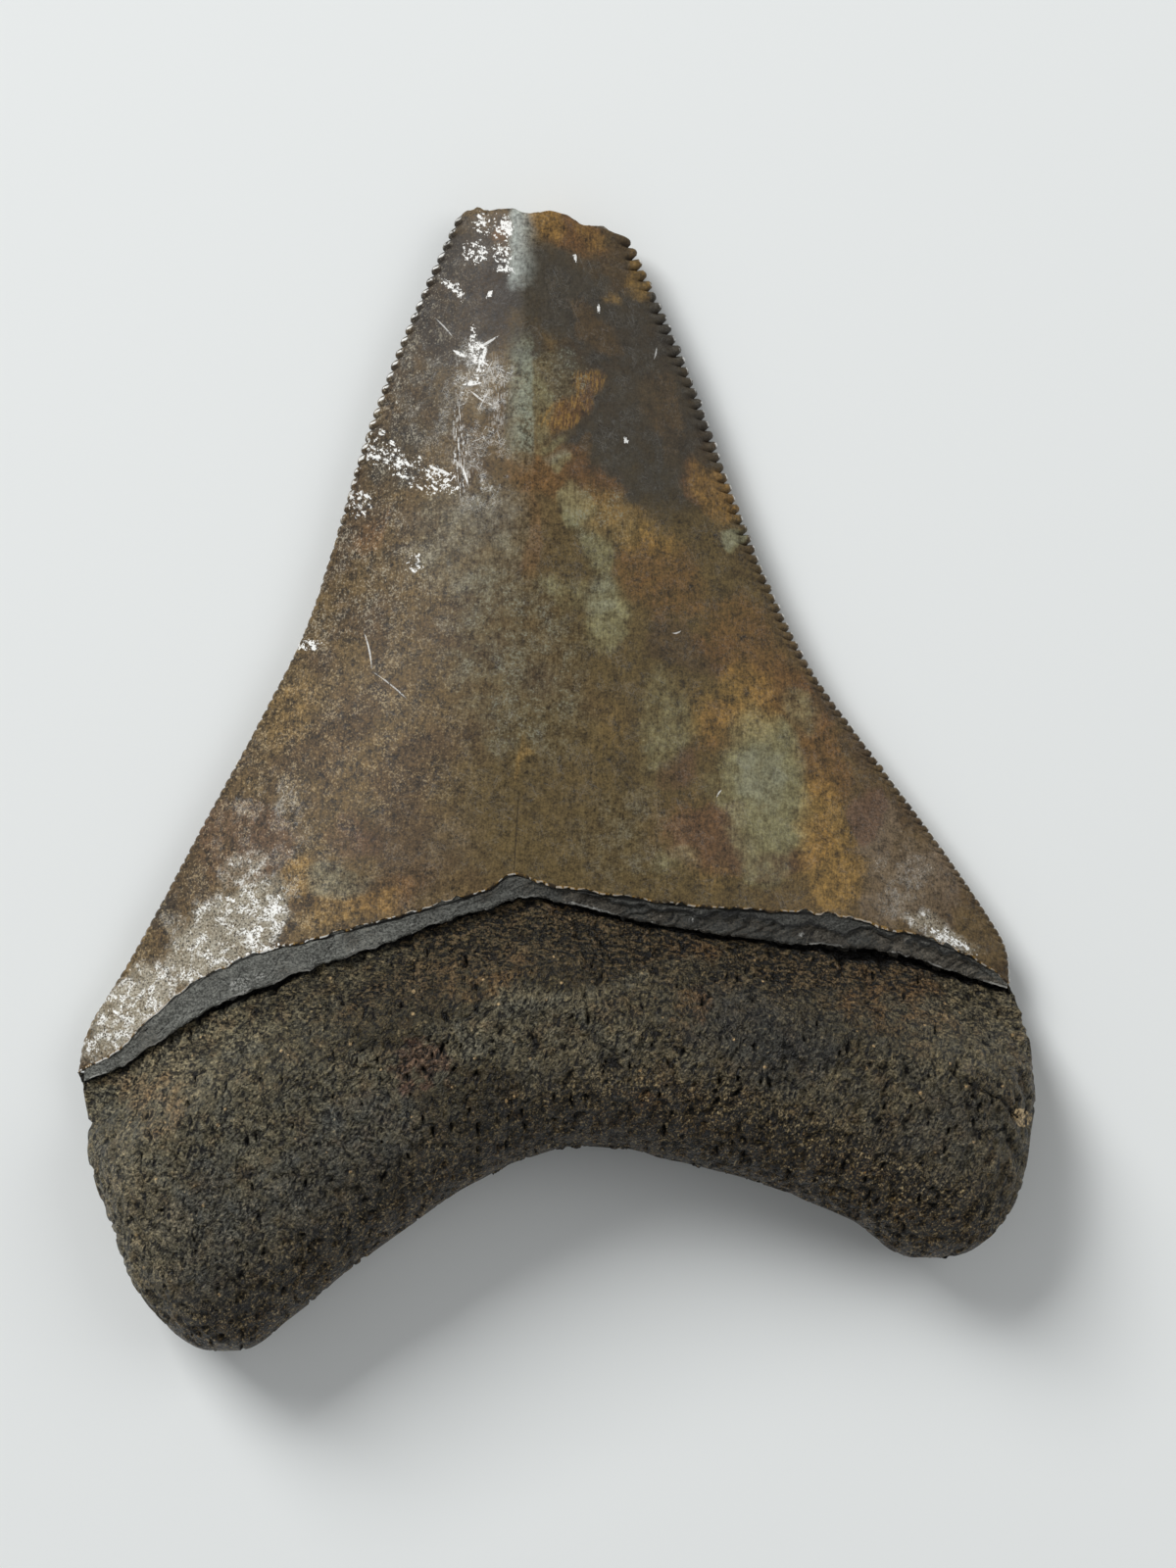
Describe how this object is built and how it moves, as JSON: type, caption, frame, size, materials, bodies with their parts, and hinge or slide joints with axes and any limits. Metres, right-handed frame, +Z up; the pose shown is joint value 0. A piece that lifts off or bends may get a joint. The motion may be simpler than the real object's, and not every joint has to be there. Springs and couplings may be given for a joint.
{
  "type": "megalodon tooth",
  "caption": "Fossil giant shark tooth with a domed triangular crown, serrated cutting edges, a broken tip and a heavy two-lobed root, lying flat.",
  "frame": {"origin": "bottom centre of the box round the tooth as it lies, on the surface it rests on", "axes": "+Y from the root to the broken tip, +Z up out of the domed inner (lingual) face, +X to the right seen from above with the tip away from the viewer"},
  "size_m": [0.0628, 0.0752, 0.0133],
  "materials": {
    "fossil_enamel": "satin",
    "bourlette": "matte",
    "fossil_root": "matte"
  },
  "bodies": {
    "root": {"tooth": "fossil_enamel"}
  },
  "joints": []
}
